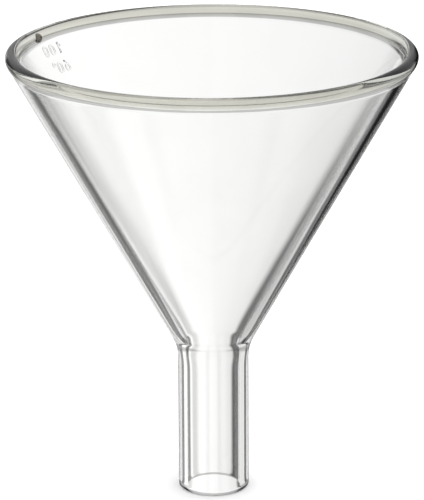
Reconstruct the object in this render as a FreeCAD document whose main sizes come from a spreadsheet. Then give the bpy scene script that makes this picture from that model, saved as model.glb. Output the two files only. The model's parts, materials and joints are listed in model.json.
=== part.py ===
import FreeCAD, Part
import math
import os
import Sketcher

# A clear glass powder funnel. The origin is the centre of the stem's lower end, +Z points up
# through the bowl, and every height is counted from that end. Millimetres and degrees.
DIMENSIONS = {
    "stem_radius": 9.5,
    "bore_radius": 7.15,
    "stem_length": 36.4,
    "end_round": 1.0,
    "outer_foot_height": 40.05,
    "outer_throat_round": 13.0,
    "inner_foot_height": 42.24,
    "inner_throat_round": 3.5,
    "seal_top_height": 44.5,
    "bowl_half_angle": 29.5,
    "bowl_rim_radius": 53.37,
    "bead_seat_height": 118.25,
    "bead_crease_height": 119.3,
    "bead_ring_radius": 52.25,
    "bead_section_radius": 1.75,
    "bead_height": 119.85,
    "mark_relief": 0.3,
    "mark_reach": 2.5,
    "mark_azimuth": 149.0,
    "angle_mark_height": 108.6,
    "size_mark_height": 113.2,
    "numeral_height": 3.2,
    "numeral_width": 2.1,
    "numeral_stroke": 0.45,
    "numeral_pitch": 3.3,
    "flag_length": 1.1,
    "flag_tilt": 50.0,
    "tail_start": 105.0,
    "degree_bend": 0.45,
    "degree_offset": 2.5,
    "knot_half_height": 1.3,
    "knot_half_depth": 1.25,
    "knot_half_width": 1.15,
    "knot_ring_radius": 50.5,
    "knot_azimuth": 157.0,
    "knot_height": 119.9,
    "tick_half_height": 0.25,
    "tick_half_depth": 0.35,
    "tick_half_width": 0.9,
    "tick_ring_radius": 50.5,
    "tick_azimuth": -4.5,
    "tick_height": 119.3,
}
FULL_TURN = 360.0
TOLERANCE = 0.01

document = FreeCAD.newDocument("powder_funnel")
sheet = document.addObject("Spreadsheet::Sheet", "dimensions")
for row, (alias, value) in enumerate(DIMENSIONS.items(), start=1):
    sheet.set("A%d" % row, alias)
    sheet.set("B%d" % row, str(value))
    sheet.setAlias("B%d" % row, alias)
document.recompute()


def bound(text):
    """Write an expression on the sheet's aliases in the form that FreeCAD resolves."""
    words = ["dimensions." + word if word in DIMENSIONS else word for word in text.split()]
    return " ".join(words)


def size(text):
    """The number that such an expression gives."""
    return float(sheet.evalExpression(bound(text)))


def bind(item, **sizes):
    """Tie each named property of an object to an expression."""
    for name, text in sizes.items():
        item.setExpression(name, bound(text))
    return item


# Revolved glass: a sketch in the XZ plane, radius across and height up, turned about Z.

def new_profile(node):
    body = document.addObject("PartDesign::Body", node)
    body.Label = node
    sketch = body.newObject("Sketcher::SketchObject", node + "_profile")
    plane = next(item for item in body.Origin.OriginFeatures if item.Role == "XZ_Plane")
    sketch.AttachmentSupport = [(plane, "")]
    sketch.MapMode = "FlatFace"
    return body, sketch


def dimension(sketch, kind, places, text):
    """Add a driving dimension and tie it to an expression."""
    number = sketch.addConstraint(Sketcher.Constraint(kind, *places, size(text)))
    sketch.setExpression("Constraints[%d]" % number, bound(text))


def place_point(sketch, geometry, end, radius, height):
    origin = (-1, 1)
    dimension(sketch, "DistanceX", (*origin, geometry, end), radius)
    if height == "0":
        sketch.addConstraint(Sketcher.Constraint("PointOnObject", geometry, end, -1))
    else:
        dimension(sketch, "DistanceY", (*origin, geometry, end), height)


def straight_outline(sketch, corners):
    """Close a ring of straight edges through corners given as radius and height."""
    points = [FreeCAD.Vector(size(radius), size(height), 0) for radius, height in corners]
    count = len(points)
    for index, point in enumerate(points):
        sketch.addGeometry(Part.LineSegment(point, points[(index + 1) % count]))
    for index, (radius, height) in enumerate(corners):
        sketch.addConstraint(Sketcher.Constraint("Coincident", index, 2, (index + 1) % count, 1))
        place_point(sketch, index, 1, radius, height)


def revolve(body, sketch):
    turned = body.newObject("PartDesign::Revolution", body.Label + "_turned")
    turned.Profile = sketch
    turned.ReferenceAxis = (sketch, ["V_Axis"])
    turned.Angle = FULL_TURN
    document.recompute()
    return turned


def ring_edge(shape, radius, height):
    """Name the circular edge of that radius at that height."""
    for number, edge in enumerate(shape.Edges, start=1):
        if not isinstance(edge.Curve, Part.Circle):
            continue
        misses = (edge.Curve.Radius - radius, edge.Curve.Center.z - height)
        if max(abs(miss) for miss in misses) < TOLERANCE:
            return "Edge%d" % number
    raise ValueError("no ring edge of radius %.2f at height %.2f" % (radius, height))


def round_rings(body, base, rings, radius):
    """Round the ring edges, given as radius and height, by one radius."""
    rounded = body.newObject("PartDesign::Fillet", body.Label + "_rounded")
    names = [ring_edge(base.Shape, size(ring), size(height)) for ring, height in rings]
    rounded.Base = (base, names)
    bind(rounded, Radius=radius)
    body.Tip = rounded
    document.recompute()


def build_stem():
    body, sketch = new_profile("stem_tube")
    corners = [("bore_radius", "0"), ("stem_radius", "0"),
               ("stem_radius", "stem_length"), ("bore_radius", "stem_length")]
    straight_outline(sketch, corners)
    tube = revolve(body, sketch)
    round_rings(body, tube, corners[:2], "end_round")
    return body


# The bowl's two cones, each by its radius at a height. The outer one starts from the stem's
# outside, the inner one from the bore.
OUTER_SLOPE = "( bowl_rim_radius - stem_radius ) / ( bead_seat_height - outer_foot_height )"


def outer_radius(height):
    return "stem_radius + ( " + height + " - outer_foot_height ) * " + OUTER_SLOPE


def inner_radius(height):
    return "bore_radius + ( " + height + " - inner_foot_height ) * tan( bowl_half_angle )"


def build_seal():
    """The throat, where stem and bowl are sealed together and both walls bend into the cone."""
    body, sketch = new_profile("throat_seal")
    outer_foot = ("stem_radius", "outer_foot_height")
    inner_foot = ("bore_radius", "inner_foot_height")
    straight_outline(sketch, [("bore_radius", "stem_length"),
                              ("stem_radius", "stem_length"), outer_foot,
                              (outer_radius("seal_top_height"), "seal_top_height"),
                              (inner_radius("seal_top_height"), "seal_top_height"), inner_foot])
    throat = revolve(body, sketch)
    round_rings(body, throat, [outer_foot], "outer_throat_round")
    round_rings(body, body.Tip, [inner_foot], "inner_throat_round")
    return body


def build_bowl():
    body, sketch = new_profile("bowl_wall")
    straight_outline(sketch, [(inner_radius("seal_top_height"), "seal_top_height"),
                              (outer_radius("seal_top_height"), "seal_top_height"),
                              ("bowl_rim_radius", "bead_seat_height"),
                              (inner_radius("bead_crease_height"), "bead_crease_height")])
    revolve(body, sketch)
    return body


def arc_from_side(side, seat, height):
    """The arc that leaves a point of the bead's side straight down and ends at the seat."""
    across = side - seat.x
    radius = (across ** 2 + (height - seat.y) ** 2) / (2 * abs(across))
    centre = FreeCAD.Vector(side - math.copysign(radius, across), height, 0)
    lean = math.atan2(seat.y - height, seat.x - centre.x)
    circle = Part.Circle(centre, FreeCAD.Vector(0, 0, 1), radius)
    if across > 0:
        return Part.ArcOfCircle(circle, lean, 0)
    return Part.ArcOfCircle(circle, math.pi, 2 * math.pi + lean)


def build_bead():
    """A bead with a round top, drawn in to the bowl's wall by one arc outside and one inside."""
    body, sketch = new_profile("rim_bead")
    ring, height = size("bead_ring_radius"), size("bead_height")
    section = size("bead_section_radius")
    crown = Part.Circle(FreeCAD.Vector(ring, height, 0), FreeCAD.Vector(0, 0, 1), section)
    seat = FreeCAD.Vector(size("bowl_rim_radius"), size("bead_seat_height"), 0)
    crease = FreeCAD.Vector(size(inner_radius("bead_crease_height")), size("bead_crease_height"), 0)
    shapes = [arc_from_side(ring + section, seat, height),
              Part.ArcOfCircle(crown, 0, math.pi / 2),
              Part.ArcOfCircle(crown, math.pi / 2, math.pi),
              arc_from_side(ring - section, crease, height),
              Part.LineSegment(crease, seat)]
    low_outer, outer, inner, low_inner, joint = (sketch.addGeometry(shape) for shape in shapes)
    chain = (low_outer, outer, inner, low_inner, joint)
    for index, first in enumerate(chain):
        second = chain[(index + 1) % len(chain)]
        sketch.addConstraint(Sketcher.Constraint("Coincident", first, 2, second, 1))
    sketch.addConstraint(Sketcher.Constraint("Coincident", outer, 3, inner, 3))
    sketch.addConstraint(Sketcher.Constraint("Vertical", outer, 3, outer, 2))
    for arc, end in ((outer, 1), (inner, 2), (low_outer, 3), (low_inner, 3)):
        sketch.addConstraint(Sketcher.Constraint("Horizontal", outer, 3, arc, end))
    place_point(sketch, outer, 3, "bead_ring_radius", "bead_height")
    dimension(sketch, "Radius", (outer,), "bead_section_radius")
    place_point(sketch, low_outer, 1, "bowl_rim_radius", "bead_seat_height")
    place_point(sketch, joint, 1, inner_radius("bead_crease_height"), "bead_crease_height")
    revolve(body, sketch)
    return body


# Raised marks: strokes pushed through the wall along its normal, kept where they cross a thin
# layer of glass that lies on the bowl's outer cone.

WALL_SLOPE = math.atan(size(OUTER_SLOPE))


def cone_object(name, extra):
    cone = document.addObject("Part::Cone", name)
    bind(cone, Radius1="stem_radius" + extra, Radius2="bowl_rim_radius" + extra,
         Height="bead_seat_height - outer_foot_height")
    cone.Placement.Base.z = size("outer_foot_height")
    return cone


def build_mark_layer():
    layer = document.addObject("Part::Cut", "mark_layer")
    layer.Base = cone_object("mark_layer_outside", " + mark_relief / %.6f" % math.cos(WALL_SLOPE))
    layer.Tool = cone_object("mark_layer_inside", "")
    return layer


def mark_frame(height):
    """A frame on the outer wall: X reads to the right, Y up the slope, Z straight out."""
    radius = size(outer_radius(height))
    lean = FreeCAD.Rotation(FreeCAD.Vector(1, 0, 0), 90 + math.degrees(WALL_SLOPE))
    face = FreeCAD.Rotation(FreeCAD.Vector(0, 0, 1), size("mark_azimuth") + 90)
    turn = FreeCAD.Rotation(FreeCAD.Vector(0, 0, 1), size("mark_azimuth"))
    point = turn.multVec(FreeCAD.Vector(radius, 0, size(height)))
    return FreeCAD.Placement(point, face.multiply(lean))


class Strokes:
    """The strokes of one mark, each a solid placed in the mark's own frame."""

    def __init__(self, node, height):
        self.node = node
        self.frame = mark_frame(height)
        self.pieces = []

    def name(self, word):
        return "%s_%s_%d" % (self.node, word, len(self.pieces))

    def put(self, item, across, up, angle=0.0):
        base = FreeCAD.Vector(across, up, -size("mark_reach"))
        turn = FreeCAD.Rotation(FreeCAD.Vector(0, 0, 1), angle)
        item.Placement = self.frame.multiply(FreeCAD.Placement(base, turn))

    def arc(self, across, up, bend, start=0.0, sweep=FULL_TURN):
        """A stroke along an arc whose middle line has the radius bend."""
        pair = []
        for side, sign in (("outside", "+"), ("inside", "-")):
            disc = document.addObject("Part::Cylinder", self.name("arc_" + side))
            bind(disc, Radius="%s %s numeral_stroke / 2" % (bend, sign), Height="2 * mark_reach")
            disc.Angle = sweep if side == "outside" else FULL_TURN
            self.put(disc, across, up, start)
            pair.append(disc)
        stroke = document.addObject("Part::Cut", self.name("arc"))
        stroke.Base, stroke.Tool = pair
        self.pieces.append(stroke)

    def bar(self, across, up, length, angle=0.0):
        """A straight stroke that runs up from the middle of its foot, tilted by angle."""
        box = document.addObject("Part::Box", self.name("bar"))
        bind(box, Length="numeral_stroke", Width=length, Height="2 * mark_reach")
        half = size("numeral_stroke") / 2
        turn = FreeCAD.Rotation(FreeCAD.Vector(0, 0, 1), angle)
        shift = turn.multVec(FreeCAD.Vector(-half, 0, 0))
        self.put(box, across + shift.x, up + shift.y, angle)
        self.pieces.append(box)

    def zero(self, across):
        low = size("numeral_width / 2")
        high = size("numeral_height - numeral_width / 2")
        bend = "( numeral_width - numeral_stroke ) / 2"
        self.arc(across, high, bend, 0.0, FULL_TURN / 2)
        self.arc(across, low, bend, FULL_TURN / 2, FULL_TURN / 2)
        for side in (-1, 1):
            self.bar(across + side * size(bend), low, "numeral_height - numeral_width")

    def one(self, across):
        self.bar(across, 0.0, "numeral_height")
        top = size("numeral_height - numeral_stroke")
        self.bar(across, top, "flag_length", 90 + size("flag_tilt"))

    def six(self, across):
        low = size("numeral_width / 2")
        bowl = "( numeral_width - numeral_stroke ) / 2"
        rise = "( numeral_height - numeral_width / 2 ) / sin( tail_start ) - numeral_stroke / 2"
        self.arc(across, low, bowl)
        start = size("tail_start")
        self.arc(across - size(bowl) + size(rise), low, rise, start, 180 - start)

    def degree(self, across):
        self.arc(across, size("numeral_height - degree_bend"), "degree_bend")

    def finish(self, layer):
        joined = document.addObject("Part::MultiFuse", self.node + "_strokes")
        joined.Shapes = self.pieces
        mark = document.addObject("Part::Common", self.node)
        mark.Label = self.node
        mark.Base = joined
        mark.Tool = layer
        return mark


def build_angle_mark(layer):
    mark = Strokes("angle_mark", "angle_mark_height")
    pitch = size("numeral_pitch")
    mark.six(-pitch)
    mark.zero(0.0)
    mark.degree(size("degree_offset"))
    return mark.finish(layer)


def build_size_mark(layer):
    mark = Strokes("size_mark", "size_mark_height")
    pitch = size("numeral_pitch")
    mark.one(-pitch)
    mark.zero(0.0)
    mark.zero(pitch)
    return mark.finish(layer)


def build_lump(node, bead):
    """A lump of glass on the inside of the bead, such as a knot or a seam's end."""
    lump = document.addObject("Part::Ellipsoid", node + "_lump")
    word = node.split("_")[1]
    bind(lump, Radius1=word + "_half_height", Radius2=word + "_half_depth",
         Radius3=word + "_half_width")
    turn = FreeCAD.Rotation(FreeCAD.Vector(0, 0, 1), size(word + "_azimuth"))
    point = turn.multVec(FreeCAD.Vector(size(word + "_ring_radius"), 0, size(word + "_height")))
    half_turn = FreeCAD.Rotation(FreeCAD.Vector(0, 0, 1), FULL_TURN / 2)
    lump.Placement = FreeCAD.Placement(point, turn.multiply(half_turn))
    outstanding = document.addObject("Part::Cut", node)
    outstanding.Label = node
    outstanding.Base = lump
    outstanding.Tool = bead
    return outstanding


stem = build_stem()
seal = build_seal()
bowl = build_bowl()
bead = build_bead()
mark_layer = build_mark_layer()
nodes = [bead, bowl, seal, stem,
         build_angle_mark(mark_layer), build_size_mark(mark_layer),
         build_lump("shear_knot", bead), build_lump("seam_tick", bead)]
document.recompute()

for item in document.Objects:
    if "Invalid" in item.State or "Error" in item.State:
        raise RuntimeError("%s failed to build: %s" % (item.Label, item.State))
for node in nodes:
    if node.Shape.isNull() or not node.Shape.isValid():
        raise RuntimeError("%s has no valid shape" % node.Label)

os.makedirs("parts", exist_ok=True)
for node in nodes:
    node.Shape.exportStep("parts/%s.step" % node.Label)
    print("%-12s %d solid(s), %9.3f mm3" % (node.Label, len(node.Shape.Solids), node.Shape.Volume))
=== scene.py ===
import json
import math
import bmesh
import bpy
from mathutils import Matrix, Vector


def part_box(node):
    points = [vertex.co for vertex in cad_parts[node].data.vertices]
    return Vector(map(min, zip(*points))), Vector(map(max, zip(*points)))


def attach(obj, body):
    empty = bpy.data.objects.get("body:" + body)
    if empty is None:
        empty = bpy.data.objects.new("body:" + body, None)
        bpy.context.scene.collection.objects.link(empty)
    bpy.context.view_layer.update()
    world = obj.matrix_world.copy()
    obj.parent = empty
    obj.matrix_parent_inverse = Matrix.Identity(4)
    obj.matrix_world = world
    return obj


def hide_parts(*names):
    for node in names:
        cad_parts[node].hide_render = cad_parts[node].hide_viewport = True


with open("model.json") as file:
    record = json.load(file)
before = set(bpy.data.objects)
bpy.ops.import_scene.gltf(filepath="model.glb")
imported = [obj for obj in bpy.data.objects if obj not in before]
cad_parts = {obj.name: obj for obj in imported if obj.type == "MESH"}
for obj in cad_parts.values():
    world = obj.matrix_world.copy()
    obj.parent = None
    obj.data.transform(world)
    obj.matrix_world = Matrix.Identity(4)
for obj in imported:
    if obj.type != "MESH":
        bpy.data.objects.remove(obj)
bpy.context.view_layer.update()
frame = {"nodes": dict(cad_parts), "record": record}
mounts = {mount["name"]: mount for mount in frame["record"]["mounts"]}
mm = 0.001
weldGap = 0.001 * mm  # points closer than this become one
print("frame loaded:", ", ".join(sorted(frame["nodes"])))


# node trees

class Wire:  # a socket that can be added, multiplied and so on
    def __init__(self, tree, socket):
        self.tree = tree
        self.socket = socket

    def maths(self, operation, other=None, flip=False):
        values = [self] if other is None else [self, other]
        if flip:
            values.reverse()
        sockets = {index: value for index, value in enumerate(values)}
        return self.tree.node("ShaderNodeMath", {"operation": operation}, sockets)

    def __add__(self, other):
        return self.maths("ADD", other)

    def __radd__(self, other):
        return self.maths("ADD", other)

    def __sub__(self, other):
        return self.maths("SUBTRACT", other)

    def __rsub__(self, other):
        return self.maths("SUBTRACT", other, True)

    def __mul__(self, other):
        return self.maths("MULTIPLY", other)

    def __rmul__(self, other):
        return self.maths("MULTIPLY", other)

    def __truediv__(self, other):
        return self.maths("DIVIDE", other)

    def __mod__(self, other):
        return self.maths("FLOORED_MODULO", other)


class Tree:  # one way of adding nodes to a shader, world or geometry tree
    def __init__(self, nodeTree):
        self.nodeTree = nodeTree

    def node(self, kind, settings=None, sockets=None, output=0):
        item = self.nodeTree.nodes.new(kind)
        for name, value in (settings or {}).items():
            if name == "stops":
                self.setStops(item.color_ramp, value)
            else:
                setattr(item, name, value)
        for key, value in (sockets or {}).items():
            if isinstance(value, Wire):
                self.nodeTree.links.new(value.socket, item.inputs[key])
            else:
                item.inputs[key].default_value = value
        return Wire(self, item.outputs[output]) if item.outputs else item

    def setStops(self, ramp, stops):
        while len(ramp.elements) < len(stops):
            ramp.elements.new(1.0)
        for element, (place, value) in zip(ramp.elements, stops):
            element.position = place
            element.color = (value, value, value, 1.0)

    def output(self, wire, index):
        return Wire(self, wire.socket.node.outputs[index])


# materials

glassLook = {
    "ior": 1.474,
    "tintAndKnotShade": (0.992, 0.995, 0.988, 1.0),  # at a clean patch of the surface
    "dullTintAndKnotShade": (0.975, 0.979, 0.970, 1.0),  # at a patch with a faint film on it
    "beadPaintedShade": (0.66, 0.65, 0.59, 1.0),  # painted shade: the bead's upper part darkened olive in place of the dark reflections it shows
    # heights over which the bead's painted shade fades in
    "beadShadeFade": (118.6 * mm, 119.4 * mm),
    "depthColour": (0.70, 0.74, 0.60, 1.0),  # what deep glass lets through
    "depthPerMetre": 9.0,
    "ripple": {"Scale": 38.0, "Detail": 2.0, "Roughness": 0.45},  # slow waves in the surface
    "rippleHeight": 0.03 * mm,
    "film": {"Scale": 90.0, "Detail": 5.0, "Roughness": 0.6},  # patches of a faint film
    "filmStops": ((0.45, 0.0), (0.75, 1.0)),
    "roughness": (0.0, 0.02),  # clean, filmed
}


knotLook = {  # what differs in the knot: painted shade, its glass darkened in place of the dark look its refraction gives
    "tintAndKnotShade": (0.28, 0.26, 0.24, 1.0),
    "dullTintAndKnotShade": (0.24, 0.22, 0.20, 1.0),
    "beadPaintedShade": (0.20, 0.18, 0.16, 1.0),
}


def clearGlass(name, look):
    material = bpy.data.materials.new(name)
    material.use_nodes = True
    material.node_tree.nodes.clear()
    tree = Tree(material.node_tree)
    place = tree.node("ShaderNodeTexCoord", output=3)
    ripple = tree.node("ShaderNodeTexNoise", {"noise_dimensions": "3D"},
                       {"Vector": place, **look["ripple"]})
    film = tree.node("ShaderNodeTexNoise", {"noise_dimensions": "3D"},
                     {"Vector": place, **look["film"]})
    patch = tree.node("ShaderNodeValToRGB", {"stops": look["filmStops"]}, {"Fac": film})
    wall = tree.node("ShaderNodeMix", {"data_type": "RGBA"},
                     {0: patch, 6: look["tintAndKnotShade"], 7: look["dullTintAndKnotShade"]}, output=2)
    height = tree.output(tree.node("ShaderNodeSeparateXYZ", {}, {0: place}), 2)
    # painted shade: from these heights up the colour turns to the bead's darkened olive
    low, high = look["beadShadeFade"]
    bead = tree.node("ShaderNodeMapRange", {"interpolation_type": "SMOOTHSTEP"},
                     {0: height, 1: low, 2: high, 3: 0.0, 4: 1.0})
    colour = tree.node("ShaderNodeMix", {"data_type": "RGBA"},
                       {0: bead, 6: wall, 7: look["beadPaintedShade"]}, output=2)
    low, high = look["roughness"]
    rough = patch * (high - low) + low
    bump = tree.node("ShaderNodeBump", {}, {
        "Strength": 1.0, "Distance": look["rippleHeight"], "Height": ripple})
    shader = tree.node("ShaderNodeBsdfPrincipled", {}, {
        "Base Color": colour, "Roughness": rough, "IOR": look["ior"],
        "Transmission Weight": 1.0, "Normal": bump})
    depth = tree.node("ShaderNodeVolumeAbsorption", {}, {
        "Color": look["depthColour"], "Density": look["depthPerMetre"]})
    tree.node("ShaderNodeOutputMaterial", {}, {"Surface": shader, "Volume": depth})
    return material


glass = clearGlass("clearGlass", glassLook)
# the knot's glass, darkened all over with painted shade
knotShadeGlass = clearGlass("knotShadeGlass", {**glassLook, **knotLook})
print("glass mixed")


# the body of glass, turned round the axis from one closed outline

bodyShape = {
    "turns": 360,  # steps round the axis
    "beadSection": 1.75 * mm,
    "innerFoot": 42.24 * mm,  # where the bowl's inner cone meets the bore
    "halfAngle": 29.5,  # of that inner cone
    "endRound": 1.0 * mm,
    "outerThroatRound": 13.0 * mm,
    "innerThroatRound": 3.5 * mm,
    "arcStep": 5.0,  # degrees between the points of an arc
    "longStep": 2.0 * mm,  # between the points of a straight run
    "waveHeight": 0.02 * mm,
    "waveScale": 22.0,
}


def arcPoints(centre, radius, start, end, step):
    steps = max(2, math.ceil(abs(end - start) / step))
    angles = [math.radians(start + (end - start) * index / steps) for index in range(steps + 1)]
    return [centre + Vector((math.cos(angle), math.sin(angle))) * radius for angle in angles]


def bendPoints(before, corner, after, radius, step):
    # rounds a corner of the outline
    towards, away = (before - corner).normalized(), (after - corner).normalized()
    half = towards.angle(away) / 2
    centre = corner + (towards + away).normalized() * (radius / math.sin(half))
    ends = [corner + way * (radius / math.tan(half)) - centre for way in (towards, away)]
    start, end = (math.degrees(math.atan2(point.y, point.x)) for point in ends)
    turn = (end - start + 180.0) % 360.0 - 180.0
    return arcPoints(centre, radius, start, start + turn, step)


def sideArc(side, height, seat, step):
    # leaves the bead's side straight down and ends at the seat
    across = side - seat.x
    radius = (across ** 2 + (height - seat.y) ** 2) / (2 * abs(across))
    centre = Vector((side - math.copysign(radius, across), height))
    lean = math.degrees(math.atan2(seat.y - height, seat.x - centre.x))
    if across > 0:
        return arcPoints(centre, radius, lean, 0.0, step)
    return arcPoints(centre, radius, 180.0, 360.0 + lean, step)


def bodyOutline(shape):
    step = shape["arcStep"]
    bore = mounts["stem_bore"]["dims"]["r_mm"] * mm
    stem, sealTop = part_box("stem_tube")[1].x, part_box("throat_seal")[1]
    beadLow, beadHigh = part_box("rim_bead")
    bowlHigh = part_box("bowl_wall")[1]
    section = shape["beadSection"]
    ring, height = beadHigh.x - section, beadHigh.z - section
    seat = Vector((bowlHigh.x, beadLow.z))
    slope = (seat.x - sealTop.x) / (seat.y - sealTop.z)
    innerSlope = math.tan(math.radians(shape["halfAngle"]))
    crease = Vector((bore + (bowlHigh.z - shape["innerFoot"]) * innerSlope, bowlHigh.z))
    boreEnd, stemEnd = Vector((bore, 0.0)), Vector((stem, 0.0))
    outerFoot = Vector((stem, sealTop.z - (sealTop.x - stem) / slope))
    innerFoot = Vector((bore, shape["innerFoot"]))
    return [
        bendPoints(innerFoot, boreEnd, stemEnd, shape["endRound"], step),
        bendPoints(boreEnd, stemEnd, outerFoot, shape["endRound"], step),
        bendPoints(stemEnd, outerFoot, seat, shape["outerThroatRound"], step),
        sideArc(ring + section, height, seat, step),
        arcPoints(Vector((ring, height)), section, 0.0, 180.0, step),
        sideArc(ring - section, height, crease, step),
        bendPoints(crease, innerFoot, boreEnd, shape["innerThroatRound"], step),
    ]


def joinStretches(stretches, longStep):
    # divides the straight runs between the stretches and drops doubled points
    points = []
    for index, stretch in enumerate(stretches):
        points.extend(stretch)
        start, end = stretch[-1], stretches[(index + 1) % len(stretches)][0]
        pieces = math.ceil((end - start).length / longStep)
        points.extend(start.lerp(end, piece / pieces) for piece in range(1, pieces))
    return [point for index, point in enumerate(points) if (point - points[index - 1]).length > weldGap]


def edgeLoop(name, outline):
    mesh = bpy.data.meshes.new(name)
    count = len(outline)
    mesh.from_pydata([(point.x, 0.0, point.y) for point in outline],
                     [(index, (index + 1) % count) for index in range(count)], [])
    piece = bpy.data.objects.new(name, mesh)
    bpy.context.scene.collection.objects.link(piece)
    return piece


def turningTree():
    # lays a grid round the axis: rows take the outline's points, columns are steps of the turn
    group = bpy.data.node_groups.new("turnOutline", "GeometryNodeTree")
    group.interface.new_socket("Geometry", in_out="OUTPUT", socket_type="NodeSocketGeometry")
    group.interface.new_socket("Outline", in_out="INPUT", socket_type="NodeSocketGeometry")
    for name, kind in (("Turns", "NodeSocketInt"), ("Wave Height", "NodeSocketFloat"),
                       ("Wave Scale", "NodeSocketFloat"), ("Glass", "NodeSocketMaterial")):
        group.interface.new_socket(name, in_out="INPUT", socket_type=kind)
    tree = Tree(group)
    outline = tree.node("NodeGroupInput")
    turns, waveHeight, waveScale, material = (tree.output(outline, index) for index in range(1, 5))
    points = tree.node("GeometryNodeAttributeDomainSize", {}, {0: outline})
    grid = tree.node("GeometryNodeMeshGrid", {}, {
        "Size X": 1.0, "Size Y": 1.0, "Vertices X": turns + 1, "Vertices Y": points + 1})
    index = tree.node("GeometryNodeInputIndex")
    row = index % (points + 1)
    column = (index - row) / (points + 1)
    position = tree.node("GeometryNodeInputPosition")
    sample = tree.node("GeometryNodeSampleIndex", {"data_type": "FLOAT_VECTOR", "domain": "POINT"},
                       {"Geometry": outline, "Value": position, "Index": row % points})
    parts = tree.node("ShaderNodeSeparateXYZ", {}, {0: sample})
    angle = (column % turns) / turns * (2 * math.pi)
    sine, cosine = angle.maths("SINE"), angle.maths("COSINE")
    radius, height = parts, tree.output(parts, 2)
    still = tree.node("ShaderNodeCombineXYZ", {}, {0: radius * cosine, 1: radius * sine, 2: height})
    noise = tree.node("ShaderNodeTexNoise", {"noise_dimensions": "3D"}, {
        "Vector": still, "Scale": waveScale, "Detail": 1.0})
    wide = radius + (noise - 0.5) * waveHeight
    placed = tree.node("ShaderNodeCombineXYZ", {}, {0: wide * cosine, 1: wide * sine, 2: height})
    turned = tree.node("GeometryNodeSetPosition", {}, {"Geometry": grid, "Position": placed})
    merged = tree.node("GeometryNodeMergeByDistance", {}, {"Geometry": turned, "Distance": weldGap})
    smooth = tree.node("GeometryNodeSetShadeSmooth", {}, {"Geometry": merged, "Shade Smooth": True})
    real = tree.node("GeometryNodeRealizeInstances", {}, {"Geometry": smooth})
    dressed = tree.node("GeometryNodeSetMaterial", {}, {"Geometry": real, "Material": material})
    tree.node("NodeGroupOutput", {}, {0: dressed})
    return group


def runTree(piece, group, values):
    modifier = piece.modifiers.new("shape", "NODES")
    modifier.node_group = group
    sockets = {item.name: item.identifier for item in group.interface.items_tree if item.in_out == "INPUT"}
    for name, value in values.items():
        modifier[sockets[name]] = value
    graph = bpy.context.evaluated_depsgraph_get()
    mesh = bpy.data.meshes.new_from_object(piece.evaluated_get(graph))
    piece.modifiers.remove(modifier)
    piece.data = mesh
    return piece


def faceOutwards(piece):
    solid = bmesh.new()
    solid.from_mesh(piece.data)
    bmesh.ops.recalc_face_normals(solid, faces=solid.faces)
    if solid.calc_volume(signed=True) < 0:
        bmesh.ops.reverse_faces(solid, faces=solid.faces)
    solid.to_mesh(piece.data)
    solid.free()


outline = joinStretches(bodyOutline(bodyShape), bodyShape["longStep"])
funnelGlass = edgeLoop("funnelGlass", outline)
runTree(funnelGlass, turningTree(), {
    "Turns": bodyShape["turns"], "Wave Height": bodyShape["waveHeight"],
    "Wave Scale": bodyShape["waveScale"], "Glass": glass})
faceOutwards(funnelGlass)
print("body turned:", len(outline), "points,", len(funnelGlass.data.polygons), "faces")
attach(funnelGlass, "root")
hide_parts("rim_bead", "bowl_wall", "throat_seal", "stem_tube")


# marks and lumps: the shapes of their CAD nodes, lifted clear of the body by a hair

liftedShape = {
    "gap": 0.02 * mm,  # between the lifted piece and the body
    "smoothAngle": 40.0,
    "names": {
        "angle_mark": "angleMark", "size_mark": "sizeMark",
        "shear_knot": "shearKnot", "seam_tick": "seamTick"},
}


def liftedCopy(node, name, outwards, look, shape):
    piece = bpy.data.objects.new(name, frame["nodes"][node].data.copy())
    bpy.context.scene.collection.objects.link(piece)
    solid = bmesh.new()
    solid.from_mesh(piece.data)
    bmesh.ops.remove_doubles(solid, verts=solid.verts, dist=weldGap)
    for vertex in solid.verts:
        across = Vector((vertex.co.x, vertex.co.y, 0.0)).normalized()
        vertex.co += across * (shape["gap"] * outwards)
    solid.to_mesh(piece.data)
    solid.free()
    piece.data.materials.clear()
    piece.data.materials.append(look)
    piece.data.shade_smooth()
    piece.data.set_sharp_from_angle(angle=math.radians(shape["smoothAngle"]))
    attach(piece, "root")
    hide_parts(node)
    return piece


for node, name in liftedShape["names"].items():
    outwards = 1 if node.endswith("mark") else -1
    # the knot takes the glass with painted shade, the rest the clear glass
    liftedCopy(node, name, outwards, knotShadeGlass if node == "shear_knot" else glass, liftedShape)
print("marks and lumps placed")


# floor

floorShape = {
    "side": 3.0,
    "colour": (0.86, 0.86, 0.86, 1.0),
    "roughness": 0.9,
    "grain": {"Scale": 400.0, "Detail": 3.0},
    "grainHeight": 0.2 * mm,
    "grainStrength": 0.1,
}


def paleFloor(shape):
    material = bpy.data.materials.new("paleFloor")
    material.use_nodes = True
    material.node_tree.nodes.clear()
    tree = Tree(material.node_tree)
    place = tree.node("ShaderNodeTexCoord", output=3)
    grain = tree.node("ShaderNodeTexNoise", {}, {"Vector": place, **shape["grain"]})
    bump = tree.node("ShaderNodeBump", {}, {
        "Strength": shape["grainStrength"], "Distance": shape["grainHeight"], "Height": grain})
    shader = tree.node("ShaderNodeBsdfPrincipled", {}, {
        "Base Color": shape["colour"], "Roughness": shape["roughness"], "Normal": bump})
    tree.node("ShaderNodeOutputMaterial", {}, {"Surface": shader})
    return material


floorMesh = bpy.data.meshes.new("floor")
half = floorShape["side"] / 2
corners = [(-half, -half, 0), (half, -half, 0), (half, half, 0), (-half, half, 0)]
floorMesh.from_pydata(corners, [], [(0, 1, 2, 3)])
floorMesh.materials.append(paleFloor(floorShape))
floor = bpy.data.objects.new("floor", floorMesh)
bpy.context.scene.collection.objects.link(floor)
floor.visible_transmission = False
floor.visible_glossy = False


# light

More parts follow.
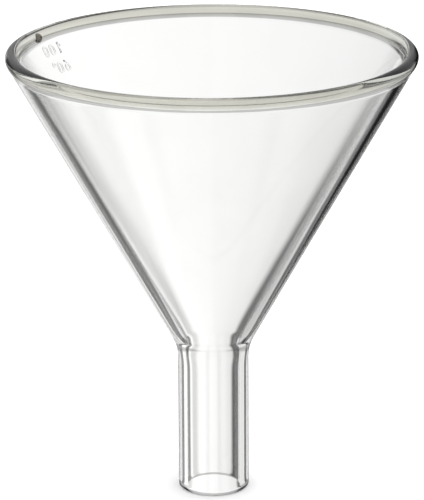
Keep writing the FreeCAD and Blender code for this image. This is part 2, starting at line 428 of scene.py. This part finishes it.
studio = {
    "seen": 1.02,  # the white that the camera sees behind the glass
    "onFloor": 1.95,  # the light on the floor
    "throughGlass": 1.13,  # the light that the glass passes on
    "cards": (  # middle in degrees round from straight behind, half width, darkness
        (-31.0, 10.0, 0.85), (-12.0, 3.5, 0.35), (20.5, 9.5, 0.98), (-72.0, 8.0, 0.6),
        (113.0, 7.0, 0.8), (-113.0, 7.0, 0.8), (157.0, 8.0, 0.8), (-157.0, 8.0, 0.8)),
    "cardEdge": 5.0,  # how far each card's edge fades
    "cardTop": (0.0, 20.0),  # the cards fade out between these heights, in degrees above the level
    "cardFoot": (-73.0, -58.0),
    "greySide": (-9.0, 12.0, 0.25),  # from, to, and how much greyer the right side is
    "overhead": (30.0, 30.0, 0.45),  # a dark ring above the glass: middle, half width, darkness
    "ground": (-47.0, 11.0, 0.25),  # the same below it
}


def studioLight(values):
    world = bpy.data.worlds.new("studio")
    world.use_nodes = True
    world.node_tree.nodes.clear()
    tree = Tree(world.node_tree)
    way = tree.node("ShaderNodeTexCoord", output=0)
    across = tree.node("ShaderNodeSeparateXYZ", {}, {0: way})
    deep, up = tree.output(across, 1), tree.output(across, 2)
    turn = across.maths("ARCTAN2", deep) * math.degrees(1.0)
    rise = up.maths("ARCSINE") * math.degrees(1.0)

    def ease(value, start, end, low, high):
        return tree.node("ShaderNodeMapRange", {"interpolation_type": "SMOOTHSTEP"},
                         {0: value, 1: start, 2: end, 3: low, 4: high})

    def card(value, middle, half, dark):
        edge = values["cardEdge"] / 2
        return ease((value - middle).maths("ABSOLUTE"), half - edge, half + edge, dark, 0.0)

    reach = ease(rise, *values["cardTop"], 1.0, 0.0) * ease(rise, *values["cardFoot"], 0.0, 1.0)
    level = 1.0
    for middle, half, dark in values["cards"]:
        level = (1.0 - card(turn, middle, half, dark) * reach) * level
    start, end, grey = values["greySide"]
    level = level * ease(turn, start, end, 1.0, 1.0 - grey)
    level = level * (1.0 - card(rise, *values["overhead"]))
    level = level * (1.0 - card(rise, *values["ground"])) * values["throughGlass"]
    seen = tree.node("ShaderNodeLightPath")
    onFloor = tree.output(seen, 2)
    level = onFloor * values["onFloor"] + (1.0 - onFloor) * level
    level = seen * values["seen"] + (1.0 - seen) * level
    sky = tree.node("ShaderNodeBackground", {}, {"Color": (1.0, 1.0, 1.0, 1.0), "Strength": level})
    tree.node("ShaderNodeOutputWorld", {}, {"Surface": sky})
    bpy.context.scene.world = world


studioLight(studio)
bpy.context.scene.view_settings.view_transform = "Standard"
print("studio lit")


# camera

lens = {
    "focal": 229.86,
    "sensor": 36.0,
    "nearest": 0.01,  # metres
    "away": 811.75 * mm,
    "high": 316.45 * mm,
    "pitch": 17.11,
    "yaw": 0.013,
    "roll": -0.28,
}


def aimCamera(values):
    data = bpy.data.cameras.new("camera")
    data.lens = values["focal"]
    data.sensor_width = values["sensor"]
    data.clip_start = values["nearest"]
    camera = bpy.data.objects.new("camera", data)
    spot = Matrix.Translation((0.0, -values["away"], values["high"]))
    turn = Matrix.Rotation(math.radians(values["yaw"]), 4, "Z")
    tip = Matrix.Rotation(math.radians(90.0 - values["pitch"]), 4, "X")
    roll = Matrix.Rotation(math.radians(values["roll"]), 4, "Z")
    camera.matrix_world = spot @ turn @ tip @ roll
    bpy.context.scene.collection.objects.link(camera)
    bpy.context.scene.camera = camera


aimCamera(lens)
print("camera aimed")
